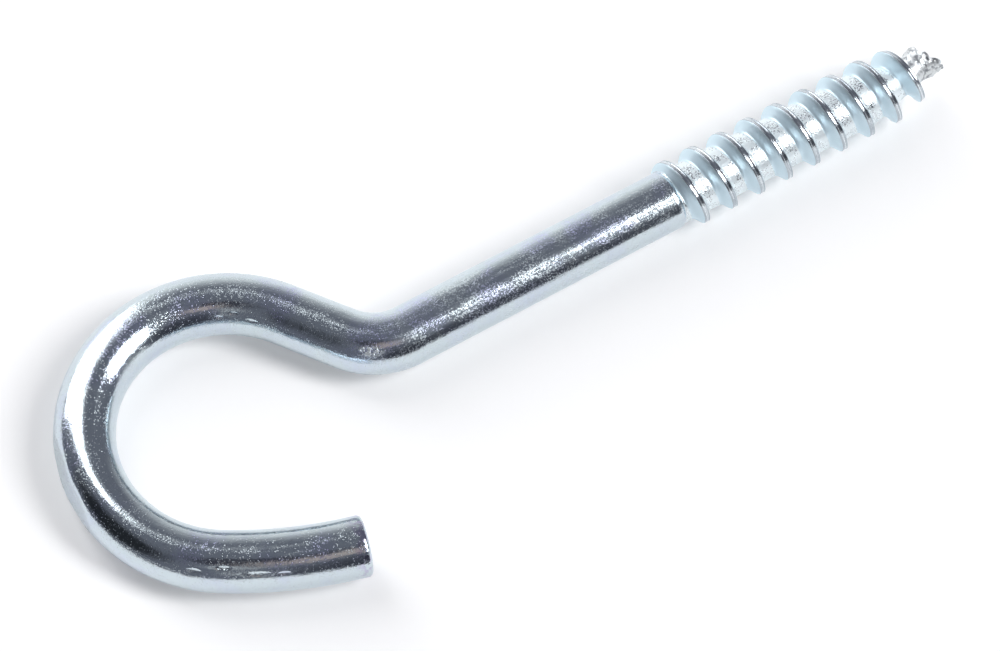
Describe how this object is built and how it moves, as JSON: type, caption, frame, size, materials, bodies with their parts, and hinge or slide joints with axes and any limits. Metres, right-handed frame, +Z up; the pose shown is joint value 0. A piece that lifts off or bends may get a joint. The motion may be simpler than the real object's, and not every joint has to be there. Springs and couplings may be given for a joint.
{
  "type": "screw hook",
  "caption": "Open round hook bent from plated steel wire, with a coarse wood thread rolled on its straight end, for hanging things from timber or a wall plug.",
  "frame": {"origin": "on the screw axis at the shoulder, where the thread starts", "axes": "+X along the screw axis towards the tip, the hook is bent in the XY plane with its mouth towards -Y, +Z up out of the plane of the hook"},
  "size_m": [0.0793, 0.0294, 0.006],
  "materials": {
    "zinc_plate": "bright zinc plated steel with a blue passivated sheen and a fine grain"
  },
  "bodies": {
    "root": {"screw_hook": "zinc_plate"}
  },
  "joints": []
}
